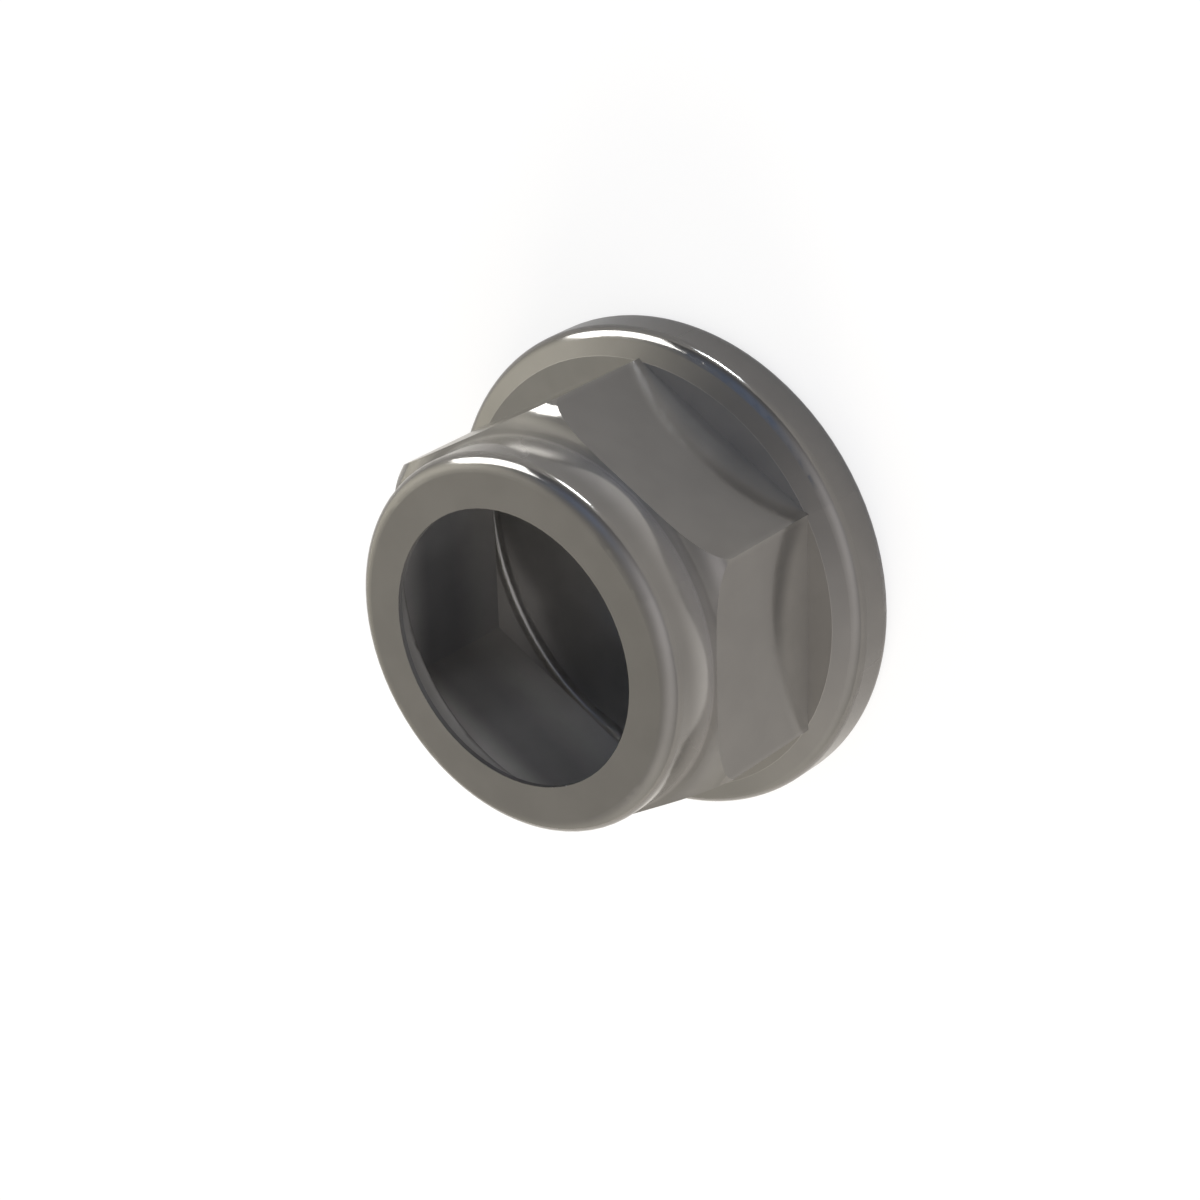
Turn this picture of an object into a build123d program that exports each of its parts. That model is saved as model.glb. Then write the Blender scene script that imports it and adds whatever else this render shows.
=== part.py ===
from build123d import *
from math import cos, radians, sin, tan
import os

# Flanged hexagon nut, one formed metal piece, in millimetres.
# It stands on the bearing face of its flange, with the axis along +Z.
# The origin is the centre of the bearing face, and two corners lie on the X axis.

# Hexagon
across_flats = 13.0
hexagon_height = 4.8
crown_round = 0.96
crown_clearance = 0.015

# Flange under the hexagon, with a flat shoulder and a sloping top
flange_overhang = 0.76
flange_height = 2.16
shoulder_setback = 0.083
flange_slope = 24.2

# Collar in front of the hexagon
neck_step = 0.17
collar_height = 1.96
ring_width = 1.685

# Rounds on the rims of the flange and the collar
rim_round = 0.517

# Wall and holes
wall = 0.18
flange_fold = 0.18
neck_fold_round = 0.3
bolt_hole_radius = 3.4

# Levels and radii that follow from the sizes above
flat_distance = across_flats / 2
corner_radius = flat_distance / cos(radians(30))
blank_radius = corner_radius + crown_clearance
flange_radius = corner_radius + flange_overhang
shoulder_radius = corner_radius - shoulder_setback
collar_radius = flat_distance - neck_step
front_hole_radius = collar_radius - ring_width
hexagon_top = flange_height + hexagon_height
collar_top = hexagon_top + collar_height
flange_ceiling = flange_height - wall
hexagon_ceiling = hexagon_top - wall
collar_ceiling = collar_top - wall
inner_flat_distance = flat_distance - wall
inner_collar_radius = collar_radius - wall
inner_shoulder_radius = shoulder_radius - wall * tan(radians(flange_slope) / 2)
overlap = 0.5


def turned(outline):
    """Solid of revolution about Z from a closed outline of (radius, height) points."""
    return revolve(Plane.XZ * make_face(outline), axis=Axis.Z)


def disc(radius, bottom, top, upper_round):
    """Round disc whose upper rim may be rounded."""
    edges = [Line((0, bottom), (radius, bottom))]
    edges.append(Line((radius, bottom), (radius, top - upper_round)))
    if upper_round > 0:
        centre = (radius - upper_round, top - upper_round)
        edges.append(CenterArc(centre, upper_round, 0, 90))
    edges.append(Line((radius - upper_round, top), (0, top)))
    edges.append(Line((0, top), (0, bottom)))
    return turned(edges)


def flange_form(inset):
    """Flange with a flat shoulder, a sloping top and rounded rims, all moved inwards by the inset."""
    slope = radians(flange_slope)
    bottom = inset
    top = flange_height - inset
    rim = flange_radius - inset
    rounding = rim_round - inset
    shoulder = shoulder_radius - inset * tan(slope / 2)
    round_radius = rim - rounding
    upper_centre = top - (round_radius - shoulder) * tan(slope) - rounding / cos(slope)
    lower_centre = bottom + rounding
    slope_foot = (round_radius + rounding * sin(slope), upper_centre + rounding * cos(slope))
    outline = [
        Line((0, bottom), (round_radius, bottom)),
        CenterArc((round_radius, lower_centre), rounding, -90, 90),
        Line((rim, lower_centre), (rim, upper_centre)),
        CenterArc((round_radius, upper_centre), rounding, 0, 90 - flange_slope),
        Line(slope_foot, (shoulder, top)),
        Line((shoulder, top), (0, top)),
        Line((0, top), (0, bottom)),
    ]
    return turned(outline)


def hexagon_face(distance):
    """Hexagon with its flats at the given distance from the axis."""
    return RegularPolygon(radius=distance, side_count=6, major_radius=False)


def hexagon_bar(distance, bottom, top):
    """Hexagonal bar with its flats at the given distance from the axis."""
    return Pos(0, 0, bottom) * extrude(hexagon_face(distance), amount=top - bottom)


def crowned_hexagon(distance, bottom, top, radius, crown):
    """Hexagonal bar whose front corners are turned off by a rounded crown."""
    return hexagon_bar(distance, bottom, top) & disc(radius, bottom, top, crown)


def outside():
    """Outer form: flange, hexagon and collar."""
    hexagon = crowned_hexagon(
        flat_distance, flange_height - overlap, hexagon_top, blank_radius, crown_round
    )
    collar = disc(collar_radius, hexagon_top - overlap, collar_top, rim_round)
    return flange_form(0) + hexagon + collar


def inside():
    """Hollow that follows the outer form one wall further in."""
    chamber = crowned_hexagon(
        inner_flat_distance, wall + overlap, hexagon_ceiling, blank_radius - wall, crown_round - wall
    )
    throat = disc(
        inner_collar_radius, hexagon_ceiling - overlap, collar_ceiling, rim_round - wall
    )
    return flange_form(wall) + flange_mouth() + chamber + throat + neck_mouth()


def flange_mouth():
    """Slanted lip where the hollow hexagon opens into the hollow flange, under its shoulder."""
    top = flange_ceiling + flange_fold
    lower_face = Pos(0, 0, flange_ceiling) * hexagon_face(inner_flat_distance + flange_fold)
    upper_face = Pos(0, 0, top) * hexagon_face(inner_flat_distance)
    shoulder = disc(inner_shoulder_radius, flange_ceiling, top, 0)
    return loft([lower_face, upper_face]) & shoulder


def neck_mouth():
    """Rounded lip inside the neck, where the hollow hexagon narrows into the hollow collar."""
    outer = inner_collar_radius + neck_fold_round
    top = hexagon_ceiling + neck_fold_round
    outline = [
        Line((0, hexagon_ceiling), (outer, hexagon_ceiling)),
        CenterArc((outer, top), neck_fold_round, 180, 90),
        Line((inner_collar_radius, top), (0, top)),
        Line((0, top), (0, hexagon_ceiling)),
    ]
    return turned(outline) & hexagon_bar(inner_flat_distance, hexagon_ceiling, top)


def nut_body():
    """The whole nut: outer form, hollow inside, open at both ends."""
    body = outside() - inside()
    front_hole = disc(front_hole_radius, collar_ceiling - overlap, collar_top + overlap, 0)
    bolt_hole = disc(bolt_hole_radius, -overlap, wall + overlap, 0)
    return body - front_hole - bolt_hole


os.makedirs("parts", exist_ok=True)
export_step(nut_body(), "parts/nut_body.step")
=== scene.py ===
from math import cos, radians, sin
import bpy
from mathutils import Matrix, Vector

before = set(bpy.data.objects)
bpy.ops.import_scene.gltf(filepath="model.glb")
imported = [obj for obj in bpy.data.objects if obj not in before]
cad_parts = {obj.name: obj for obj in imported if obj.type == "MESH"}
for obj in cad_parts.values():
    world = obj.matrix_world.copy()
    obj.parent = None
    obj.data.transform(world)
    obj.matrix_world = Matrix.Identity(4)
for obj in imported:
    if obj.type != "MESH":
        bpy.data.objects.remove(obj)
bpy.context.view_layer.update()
scene = bpy.context.scene

# Nut body: the whole nut, flange, hexagon and collar, formed from one thin wall of steel.
# It has a dull, warm grey plating, tumbled smooth. Its tone is written paler in the recesses and
# deep inside, in place of the light that brighter walls would pass to each other there.
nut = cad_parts["nut_body"]

# Tones of the plating on the open faces and at the front inside, and paler tones in the two outer
# recesses and further inside, which are painted light in place of the light that the walls pass to each
# other there
PLATED_STEEL = (0.197, 0.190, 0.178, 1.0)
SHOULDER_PAINTED_LIGHT = (0.29, 0.28, 0.262, 1.0)
NECK_PAINTED_LIGHT = (0.38, 0.37, 0.355, 1.0)
INNER_FRONT = (0.20, 0.198, 0.195, 1.0)
INNER_DEEP_PAINTED_LIGHT = (0.42, 0.41, 0.39, 1.0)
INNER_NECK_PAINTED_LIGHT = (0.50, 0.49, 0.47, 1.0)

# Finish: how far it is a mirror, how rough it is, and what tumbling does to it
METAL_SHARE_OUTSIDE = 0.6
METAL_SHARE_INSIDE = 0.45
ROUGHNESS_IN_THE_OPEN = (0.11, 0.15)
ROUGHER_IN_RECESS = 0.1
CLOUD_SCALE = 700.0
CLOUD_DETAIL = 3.0
CLOUD_TONES = (0.965, 1.035)
CLOUD_RANGE = (0.3, 0.7)
CORNER_POLISH = 1.12
RIPPLE_SCALE = 2500.0
RIPPLE_DETAIL = 2.0
RIPPLE_DEPTH = 0.0000005

# Levels above the bearing face, and distances from the axis
MID_FLANGE_LEVEL = 0.001
SHOULDER_LEVEL = 0.00216
DEEP_TONE_TOP = 0.0045
NECK_LEVEL = 0.00696
FLAT_DISTANCE = 0.0065
NECK_RADII = (0.00635, 0.00650)
CROWN_RADII = (0.0066, 0.0071)
CORNER_RADII = (0.00738, 0.00751)

# How far the painted light reaches out of each recess, and its share on the crown. On a flat the
# reach shrinks towards the corners, by FOOT_FALL times what the distance from the axis gains.
SHOULDER_REACH = (0.0011, 0.0019)
FOOT_FALL = 1.14
NECK_REACH = 0.0012
INNER_NECK_REACH = 0.0014
CROWN_SHARE = 0.5

# Limits that tell the nut's faces apart
TOWARDS_AXIS = -0.05
INNER_MARGIN = 0.0002
LEVEL_PLAY = 0.000005
UPWARD = 0.2

plating = bpy.data.materials.new("satin_plated_steel")
plating.use_nodes = True
steel = plating.node_tree
shader = steel.nodes["Principled BSDF"]
position = steel.nodes.new("ShaderNodeTexCoord").outputs["Object"]
normal = steel.nodes.new("ShaderNodeNewGeometry").outputs["Normal"]


def feed(tree, value, socket):
    """Link a socket to another one, or set it to a number, vector or colour."""
    if isinstance(value, bpy.types.NodeSocket):
        tree.links.new(value, socket)
    else:
        socket.default_value = value


def calculated(tree, operation, *values):
    """Result of a sum on numbers."""
    node = tree.nodes.new("ShaderNodeMath")
    node.operation = operation
    for value, socket in zip(values, node.inputs):
        feed(tree, value, socket)
    return node.outputs["Value"]


def vector_sum(tree, operation, first, second=None):
    """Result of a sum on vectors: a number for a length or a dot product, and else a vector."""
    node = tree.nodes.new("ShaderNodeVectorMath")
    node.operation = operation
    feed(tree, first, node.inputs[0])
    if second is not None:
        feed(tree, second, node.inputs["Scale" if operation == "SCALE" else 1])
    return node.outputs["Value" if operation in ("LENGTH", "DOT_PRODUCT") else "Vector"]


def height_of(tree, vector):
    """Z part of a vector."""
    parts = tree.nodes.new("ShaderNodeSeparateXYZ")
    feed(tree, vector, parts.inputs["Vector"])
    return parts.outputs["Z"]


def ranged(tree, value, low, high, at_low, at_high):
    """Value carried over smoothly from one range to another, held at the ends."""
    node = tree.nodes.new("ShaderNodeMapRange")
    node.interpolation_type = "SMOOTHSTEP"
    feed(tree, value, node.inputs["Value"])
    feed(tree, low, node.inputs["From Min"])
    feed(tree, high, node.inputs["From Max"])
    feed(tree, at_low, node.inputs["To Min"])
    feed(tree, at_high, node.inputs["To Max"])
    return node.outputs["Result"]


def blended(tree, share, first, second):
    """Colour between two colours."""
    node = tree.nodes.new("ShaderNodeMix")
    node.data_type = "RGBA"
    feed(tree, share, node.inputs["Factor"])
    colour_sockets = [socket for socket in node.inputs if socket.type == "RGBA"]
    for colour, socket in zip((first, second), colour_sockets):
        feed(tree, colour, socket)
    return next(socket for socket in node.outputs if socket.type == "RGBA")


def noise(tree, place, scale, detail):
    """Even noise through space, as a number round a half."""
    node = tree.nodes.new("ShaderNodeTexNoise")
    feed(tree, place, node.inputs["Vector"])
    feed(tree, scale, node.inputs["Scale"])
    feed(tree, detail, node.inputs["Detail"])
    return node.outputs["Fac"]


height = height_of(steel, position)
upward = height_of(steel, normal)
sideways = vector_sum(steel, "MULTIPLY", position, (1, 1, 0))
radius = vector_sum(steel, "LENGTH", sideways)

# Inner walls face the axis. Level faces that look up are inside below the middle of the flange,
# and those that look down are inside above it.
outward = vector_sum(steel, "NORMALIZE", sideways)
facing_out = vector_sum(steel, "DOT_PRODUCT", outward, normal)
inner_wall = calculated(steel, "LESS_THAN", facing_out, TOWARDS_AXIS)
below = calculated(steel, "SUBTRACT", MID_FLANGE_LEVEL, height)
turned_in = calculated(steel, "MULTIPLY", below, upward)
inner_level = calculated(steel, "GREATER_THAN", turned_in, INNER_MARGIN)
inner = calculated(steel, "MAXIMUM", inner_wall, inner_level)

# Inside, the tone is painted palest round the neck and pale at the deep end: painted light in place of
# the light that the walls pass to each other there.
from_neck = calculated(steel, "ABSOLUTE", calculated(steel, "SUBTRACT", height, NECK_LEVEL))
deep = ranged(steel, height, SHOULDER_LEVEL, DEEP_TONE_TOP, 1.0, 0.0)
near_inner_neck = ranged(steel, from_neck, 0.0, INNER_NECK_REACH, 1.0, 0.0)
inner_colour = blended(steel, deep, INNER_FRONT, INNER_DEEP_PAINTED_LIGHT)
inner_colour = blended(steel, near_inner_neck, inner_colour, INNER_NECK_PAINTED_LIGHT)

# Outside, one recess is the shoulder with the feet of the flats. A paler tone is painted there, as
# painted light in place of the light that the walls pass to each other.
above_shoulder = calculated(steel, "SUBTRACT", height, SHOULDER_LEVEL)
on_shoulder = calculated(steel, "GREATER_THAN", above_shoulder, -LEVEL_PLAY)
past_flat = calculated(steel, "SUBTRACT", radius, FLAT_DISTANCE)
foot_level = calculated(steel, "MULTIPLY_ADD", past_flat, FOOT_FALL, above_shoulder)
near_foot = ranged(steel, foot_level, *SHOULDER_REACH, 1.0, 0.0)
near_shoulder = calculated(steel, "MULTIPLY", on_shoulder, near_foot)

# The other recess is the neck, between the collar and the crown, where the same painted light is laid.
beside_neck = ranged(steel, from_neck, 0.0, NECK_REACH, 1.0, 0.0)
on_collar = ranged(steel, radius, *NECK_RADII, 1.0, 0.0)
faces_up = calculated(steel, "GREATER_THAN", upward, UPWARD)
within_crown = ranged(steel, radius, *CROWN_RADII, CROWN_SHARE, 0.0)
on_crown = calculated(steel, "MULTIPLY", faces_up, within_crown)
near_neck = calculated(steel, "MULTIPLY", beside_neck, calculated(steel, "MAXIMUM", on_collar, on_crown))

# Painted light: the paler recess tones are laid over the plating here, and the inner tones inside.
outer_colour = blended(steel, near_shoulder, PLATED_STEEL, SHOULDER_PAINTED_LIGHT)
outer_colour = blended(steel, near_neck, outer_colour, NECK_PAINTED_LIGHT)
tone_with_painted_light = blended(steel, inner, outer_colour, inner_colour)

# Faint clouds in the tone and the gloss, corners of the hexagon rubbed slightly brighter, and
# the recesses a little rougher
clouds = noise(steel, position, CLOUD_SCALE, CLOUD_DETAIL)
drift = ranged(steel, clouds, *CLOUD_RANGE, *CLOUD_TONES)
at_corner = ranged(steel, radius, *CORNER_RADII, 0.0, 1.0)
corner = calculated(steel, "MULTIPLY", on_shoulder, at_corner)
polish = ranged(steel, corner, 0.0, 1.0, 1.0, CORNER_POLISH)
tone_factor = calculated(steel, "MULTIPLY", drift, polish)
feed(steel, vector_sum(steel, "SCALE", tone_with_painted_light, tone_factor), shader.inputs["Base Color"])

metal_share = ranged(steel, inner, 0.0, 1.0, METAL_SHARE_OUTSIDE, METAL_SHARE_INSIDE)
feed(steel, metal_share, shader.inputs["Metallic"])

gloss = ranged(steel, clouds, *CLOUD_RANGE, *ROUGHNESS_IN_THE_OPEN)
outer_recess = calculated(steel, "MAXIMUM", near_neck, near_shoulder)
recess = calculated(steel, "MAXIMUM", inner, outer_recess)
rougher = calculated(steel, "MULTIPLY", recess, ROUGHER_IN_RECESS)
feed(steel, calculated(steel, "ADD", gloss, rougher), shader.inputs["Roughness"])

# Tumbling leaves a ripple half a micrometre deep.
ripple = noise(steel, position, RIPPLE_SCALE, RIPPLE_DETAIL)
tumbled = steel.nodes.new("ShaderNodeBump")
feed(steel, 1.0, tumbled.inputs["Strength"])
feed(steel, RIPPLE_DEPTH, tumbled.inputs["Distance"])
feed(steel, ripple, tumbled.inputs["Height"])
feed(steel, tumbled.outputs["Normal"], shader.inputs["Normal"])

nut.data.materials.clear()
nut.data.materials.append(plating)

# Table: a plain pale floor, which is not part of the nut and keeps its soft shadow. The camera
# sees it white. The metal sees it as the lamps light it, with a faint glow added.
TABLE_HALF_WIDTH = 1.5
TABLE_TONE = 0.8
TABLE_TONE_SEEN = 0.25
GLOW_SEEN = 0.8
GLOW_IN_METAL = 0.1

near_edge = -TABLE_HALF_WIDTH
far_edge = TABLE_HALF_WIDTH
table_corners = [
    (near_edge, near_edge, 0),
    (far_edge, near_edge, 0),
    (far_edge, far_edge, 0),
    (near_edge, far_edge, 0),
]
floor_mesh = bpy.data.meshes.new("floor")
floor_mesh.from_pydata(table_corners, [], [(0, 1, 2, 3)])
floor = bpy.data.objects.new("floor", floor_mesh)
scene.collection.objects.link(floor)

pale = bpy.data.materials.new("pale_table")
pale.use_nodes = True
table = pale.node_tree
table.nodes.clear()
surface = table.nodes.new("ShaderNodeOutputMaterial")
lit = table.nodes.new("ShaderNodeBsdfDiffuse")
glow = table.nodes.new("ShaderNodeEmission")
both = table.nodes.new("ShaderNodeAddShader")
rays = table.nodes.new("ShaderNodeLightPath").outputs

seen = rays["Is Camera Ray"]
mirrored = calculated(table, "MAXIMUM", rays["Is Glossy Ray"], rays["Is Transmission Ray"])
glow_in_metal = calculated(table, "MULTIPLY", mirrored, GLOW_IN_METAL)
feed(table, calculated(table, "MULTIPLY_ADD", seen, GLOW_SEEN, glow_in_metal), glow.inputs["Strength"])
feed(table, ranged(table, seen, 0.0, 1.0, TABLE_TONE, TABLE_TONE_SEEN), lit.inputs["Color"])
feed(table, lit.outputs["BSDF"], both.inputs[0])
feed(table, glow.outputs["Emission"], both.inputs[1])
feed(table, both.outputs["Shader"], surface.inputs["Surface"])
floor_mesh.materials.append(pale)

# Studio light: a dim room with soft panels round the nut. A key lamp and two small strips low
# on the table make the highlights, and three lamps that the metal doesn't mirror fill the shade.
ROOM_LEVEL = (0.02, 0.02, 0.02)

# Each panel's azimuth, elevation, sharpness of edge and colour
PANELS = [
    (-41, 41, 4.5, (1.05, 1.02, 1.04)),
    (-120, 10, 3.5, (0.78, 0.77, 0.69)),
    (-6, 20, 8.0, (0.76, 0.74, 0.78)),
    (58, 42, 14.0, (0.04, 0.16, 0.42)),
    (-110, 45, 6.0, (0.43, 0.41, 0.42)),
    (140, 35, 10.0, (1.75, 1.69, 1.52)),
    (160, 5, 8.0, (1.12, 1.07, 0.92)),
]

world = bpy.data.worlds.new("studio")
scene.world = world
world.use_nodes = True
room = world.node_tree
background = room.nodes["Background"]
looking = room.nodes.new("ShaderNodeTexCoord").outputs["Generated"]


def heading(azimuth, elevation):
    """Unit vector for an azimuth from +X and an elevation above the floor, in degrees."""
    level = cos(radians(elevation))
    return Vector((level * cos(radians(azimuth)), level * sin(radians(azimuth)), sin(radians(elevation))))


def soft_panel(azimuth, elevation, sharpness, colour):
    """Soft-edged patch of light in the room, brightest at its middle."""
    nearness = vector_sum(room, "DOT_PRODUCT", looking, heading(azimuth, elevation))
    fall = calculated(room, "MULTIPLY_ADD", nearness, sharpness, -sharpness)
    return vector_sum(room, "SCALE", colour, calculated(room, "EXPONENT", fall))


room_light = ROOM_LEVEL
for panel in PANELS:
    room_light = vector_sum(room, "ADD", room_light, soft_panel(*panel))
feed(room, room_light, background.inputs["Color"])
feed(room, 1.0, background.inputs["Strength"])


def lamp(name, place, size, watts, colour, back=None, spread=180):
    """Rectangular lamp out of the picture. It faces the nut, or away from the vector called back."""
    data = bpy.data.lights.new(name, "AREA")
    data.shape = "RECTANGLE"
    data.size, data.size_y = size
    data.energy = watts
    data.color = colour
    data.spread = radians(spread)
    lamp_object = bpy.data.objects.new(name, data)
    scene.collection.objects.link(lamp_object)
    lamp_object.location = place
    lamp_object.rotation_euler = (back or place).to_track_quat("Z", "Y").to_euler()
    lamp_object.visible_camera = False
    return lamp_object


key = lamp(
    "key", place=0.30 * heading(106, 19), size=(0.21, 0.16), watts=1.25, colour=(1.0, 1.0, 1.0)
)
strip = lamp(
    "strip", place=0.0275 * heading(57, 4.5), size=(0.010, 0.0035), watts=0.00045,
    colour=(0.92, 0.96, 1.0), back=heading(57, -27), spread=36,
)
low_strip = lamp(
    "low_strip", place=0.0126 * heading(50, 1.1), size=(0.0041, 0.0004), watts=0.000010,
    colour=(0.88, 0.93, 1.0), back=heading(64, -19), spread=22,
)
for highlight_lamp in (key, strip, low_strip):
    highlight_lamp.visible_diffuse = False

low_fill = lamp(
    "low_fill", place=0.30 * heading(-50, 8), size=(0.20, 0.07), watts=0.14, colour=(1.0, 0.97, 0.94)
)
fill = lamp(
    "fill", place=0.30 * heading(-120, 30), size=(0.20, 0.20), watts=0.52, colour=(1.0, 0.88, 0.69)
)
above_bore = 0.06 * heading(50, 42)
far_wall_of_bore = Vector((-0.005, -0.003, 0.004))
bore_lamp = lamp(
    "bore_lamp", place=above_bore, size=(0.012, 0.012), watts=0.00008,
    colour=(0.98, 0.98, 1.0), back=above_bore - far_wall_of_bore, spread=14,
)
for fill_lamp in (low_fill, fill, bore_lamp):
    fill_lamp.visible_glossy = False

# Camera: a long lens beside and above the collar end, rolled so that the nut's axis points down
# and to the left in the picture.
LENS = 96.28
SENSOR_WIDTH = 36.0
NEAREST_SEEN = 0.005
FARTHEST_SEEN = 5.0
CAMERA_PLACE = Vector((0.072523, 0.008674, 0.076741))
CAMERA_AZIMUTH = 6.838
CAMERA_ELEVATION = 44.699
CAMERA_ROLL = -119.521

camera_data = bpy.data.cameras.new("camera")
camera_data.lens = LENS
camera_data.sensor_width = SENSOR_WIDTH
camera_data.clip_start = NEAREST_SEEN
camera_data.clip_end = FARTHEST_SEEN
camera = bpy.data.objects.new("camera", camera_data)
scene.collection.objects.link(camera)
swing = Matrix.Rotation(radians(CAMERA_AZIMUTH + 90), 4, "Z")
tilt = Matrix.Rotation(radians(90 - CAMERA_ELEVATION), 4, "X")
roll = Matrix.Rotation(radians(CAMERA_ROLL), 4, "Z")
camera.matrix_world = Matrix.Translation(CAMERA_PLACE) @ swing @ tilt @ roll
scene.camera = camera

scene.view_settings.view_transform = "Standard"
